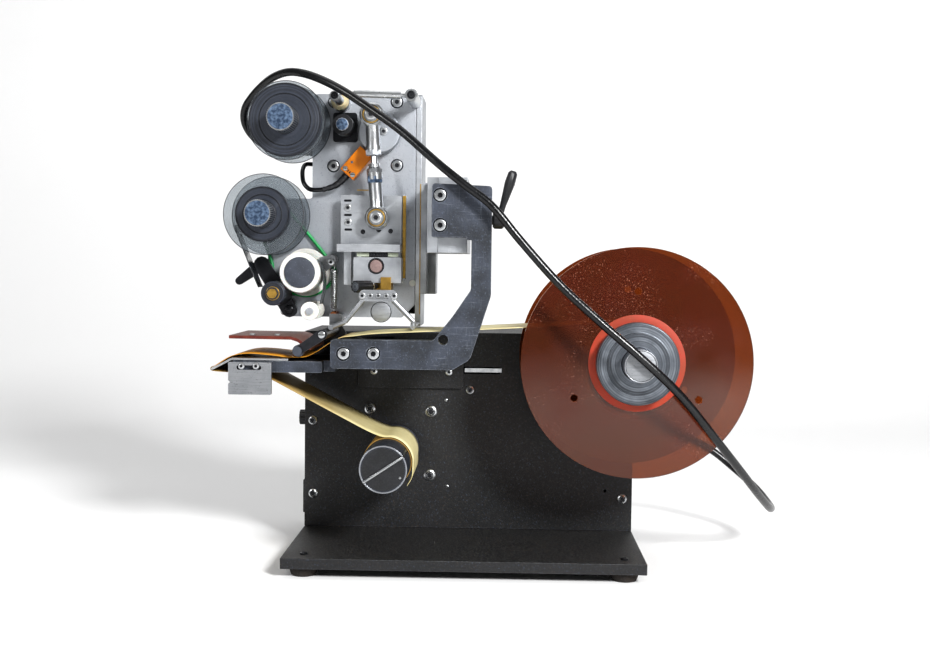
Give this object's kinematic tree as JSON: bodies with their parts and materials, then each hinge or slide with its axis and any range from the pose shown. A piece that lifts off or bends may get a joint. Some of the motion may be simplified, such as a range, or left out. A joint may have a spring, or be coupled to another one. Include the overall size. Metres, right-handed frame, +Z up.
{
  "type": "label dispenser machine",
  "caption": "Desktop label dispenser: supply reel, peel table with hold-down, liner rewind, and a C-arm that carries a foil coding head with spools, crank and heated press.",
  "frame": {"origin": "on the floor under the middle of the machine without its cords", "axes": "+X to the right, from the peel table towards the supply reel; +Y away from the operator; +Z up"},
  "size_m": [0.5038, 0.2483, 0.4266],
  "materials": {
    "black_powder_coat": "fine textured powder coat",
    "rubber_feet": "matte",
    "charcoal_paint": "satin",
    "black_plastic": "matte",
    "spool_plastic": "turned",
    "machined_aluminium": "bead blasted",
    "bright_steel": "bright",
    "grey_plate": "brushed",
    "brass": "machined",
    "amber_acrylic": "tinted, see-through",
    "clear_acrylic": "clear",
    "liner_paper": "coated paper",
    "sensor_orange": "satin",
    "belt_green": "satin",
    "white_rubber": "matte",
    "black_rubber": "matte",
    "cord_black": "gloss"
  },
  "bodies": {
    "frame": {"base_plate": "black_powder_coat", "foot_front_left": "rubber_feet", "foot_front_right": "rubber_feet", "foot_rear_left": "rubber_feet", "foot_rear_right": "rubber_feet", "front_panel": "black_powder_coat", "rear_cover": "black_powder_coat", "cord_gland": "black_plastic", "rewind_gearmotor": "bright_steel", "slide_carriage": "grey_plate", "c_arm": "charcoal_paint", "column_block": "machined_aluminium", "peel_table": "grey_plate", "peel_plate": "bright_steel", "gauge_plate": "grey_plate", "label_web": "liner_paper", "backing_liner": "liner_paper"},
    "rewind": {"rewind_spindle": "black_plastic", "liner_roll": "liner_paper"},
    "clip": {"rewind_clip": "black_plastic"},
    "reel": {"reel_shaft": "spool_plastic", "reel_disc_rear": "amber_acrylic", "reel_disc_front": "amber_acrylic", "reel_collar": "spool_plastic"},
    "roll": {"label_roll": "liner_paper"},
    "flap": {"flap_arms": "grey_plate", "hold_down_plate": "amber_acrylic"},
    "flap_roller": {"hold_down_roller": "bright_steel"},
    "clamp": {"clamp_lever": "black_plastic"},
    "rocker": {"power_rocker": "black_plastic"},
    "knob": {"speed_knob": "black_plastic"},
    "head": {"head_plate": "machined_aluminium", "side_rail": "machined_aluminium", "head_rear_cover": "black_powder_coat", "head_gearmotor": "bright_steel", "position_sensor": "sensor_orange", "foil_guide_frame": "bright_steel", "top_tie_bar": "bright_steel", "drive_belt": "belt_green", "feed_spring": "bright_steel", "main_cord": "cord_black", "sensor_cable": "cord_black"},
    "upper_foil": {"upper_spool": "spool_plastic", "upper_disc_front": "clear_acrylic"},
    "lower_foil": {"lower_spool": "spool_plastic", "lower_disc_front": "clear_acrylic"},
    "feed": {"feed_roller": "white_rubber"},
    "pinch": {"pinch_arm": "black_plastic"},
    "pinch_wheel": {"pinch_roller": "black_rubber"},
    "trip_lever": {"feed_lever": "bright_steel"},
    "idler": {"foil_idler": "black_plastic"},
    "foil_wheel": {"foil_guide_roller": "white_rubber"},
    "crank": {"crank_disc": "machined_aluminium"},
    "press": {"press_slide": "machined_aluminium", "heater_block": "bright_steel", "type_holder": "brass"},
    "rod": {"lower_rod_end": "bright_steel", "rod_coupler": "bright_steel", "upper_rod_end": "bright_steel"},
    "thumb": {"thumb_screw": "black_plastic"}
  },
  "joints": [
    {"name": "rewind_spin", "type": "hinge", "parent": "frame", "child": "rewind", "pos_m": [-0.07744, 0, 0.0905], "axis": [0, 1, 0], "continuous": true},
    {"name": "clip_pull", "type": "slide", "parent": "rewind", "child": "clip", "axis": [0, -1, 0], "range_m": [0, 0.1]},
    {"name": "reel_spin", "type": "hinge", "parent": "frame", "child": "reel", "pos_m": [0.13146, 0, 0.178], "axis": [0, 1, 0], "continuous": true},
    {"name": "roll_spin", "type": "hinge", "parent": "frame", "child": "roll", "pos_m": [0.13146, 0, 0.1718], "axis": [0, 1, 0], "continuous": true},
    {"name": "flap_lift", "type": "hinge", "parent": "frame", "child": "flap", "pos_m": [-0.13254, 0, 0.1985], "axis": [0, 1, 0], "range_deg": [0, 15]},
    {"name": "flap_roller_spin", "type": "hinge", "parent": "flap", "child": "flap_roller", "pos_m": [-0.15284, 0, 0.1845], "axis": [0, 1, 0], "continuous": true},
    {"name": "clamp_turn", "type": "hinge", "parent": "frame", "child": "clamp", "pos_m": [0, -0.0535, 0.297], "axis": [1, 0, 0], "range_deg": [-45, 90]},
    {"name": "rocker_tilt", "type": "hinge", "parent": "frame", "child": "rocker", "pos_m": [-0.16204, 0, 0.0395], "axis": [0, 1, 0], "range_deg": [0, 12]},
    {"name": "knob_turn", "type": "hinge", "parent": "frame", "child": "knob", "pos_m": [0, 0.0415, 0.114], "axis": [1, 0, 0], "range_deg": [0, 270]},
    {"name": "head_height", "type": "slide", "parent": "frame", "child": "head", "axis": [0, 0, 1], "range_m": [0, 0.03], "deforming": ["main_cord"]},
    {"name": "upper_foil_spin", "type": "hinge", "parent": "head", "child": "upper_foil", "pos_m": [-0.16904, 0, 0.3805], "axis": [0, 1, 0], "continuous": true},
    {"name": "feed_spin", "type": "hinge", "parent": "head", "child": "feed", "pos_m": [-0.15694, 0, 0.2503], "axis": [0, 1, 0], "continuous": true},
    {"name": "lower_foil_spin", "type": "hinge", "parent": "head", "child": "lower_foil", "pos_m": [-0.18804, 0, 0.3], "axis": [0, 1, 0], "continuous": true},
    {"name": "pinch_swing", "type": "hinge", "parent": "head", "child": "pinch", "pos_m": [-0.17104, 0, 0.217], "axis": [0, -1, 0], "range_deg": [0, 15], "stiffness_Nm_per_rad": 0.2, "springref_deg": -11.46},
    {"name": "pinch_wheel_spin", "type": "hinge", "parent": "pinch", "child": "pinch_wheel", "pos_m": [-0.17874, 0, 0.2321], "axis": [0, 1, 0], "continuous": true},
    {"name": "trip_lever_swing", "type": "hinge", "parent": "head", "child": "trip_lever", "pos_m": [-0.15694, 0, 0.2503], "axis": [0, 1, 0], "range_deg": [0, 25], "deforming": ["feed_spring"]},
    {"name": "idler_spin", "type": "hinge", "parent": "head", "child": "idler", "pos_m": [-0.12244, 0, 0.3792], "axis": [0, 1, 0], "continuous": true},
    {"name": "foil_wheel_spin", "type": "hinge", "parent": "head", "child": "foil_wheel", "pos_m": [-0.14804, 0, 0.217], "axis": [0, 1, 0], "continuous": true},
    {"name": "crank_turn", "type": "hinge", "parent": "head", "child": "crank", "pos_m": [-0.09144, 0, 0.3745], "axis": [0, -1, 0], "range_deg": [0, 158]},
    {"name": "press_stroke", "type": "slide", "parent": "head", "child": "press", "axis": [0, 0, -1], "range_m": [0, 0.0271]},
    {"name": "rod_swing", "type": "hinge", "parent": "press", "child": "rod", "pos_m": [-0.09164, 0, 0.2984], "axis": [0, 1, 0], "range_deg": [0, 3.42]},
    {"name": "thumb_turn", "type": "hinge", "parent": "press", "child": "thumb", "pos_m": [-0.09089, -0.0424, 0.23885], "axis": [-0.6272, -0.7789, 0], "continuous": true}
  ],
  "couplings": [
    {"joint": "roll_spin", "follows": "reel_spin", "ratio": 0.8289},
    {"joint": "lower_foil_spin", "follows": "feed_spin", "ratio": 1.482},
    {"joint": "pinch_wheel_spin", "follows": "feed_spin", "ratio": -1.6762},
    {"joint": "trip_lever_swing", "follows": "press_stroke", "rad_per_m": 16.098},
    {"joint": "crank_turn", "follows": "press_stroke", "rad_per_m": 101.56},
    {"joint": "rod_swing", "follows": "press_stroke", "rad_per_m": 2.1958}
  ]
}
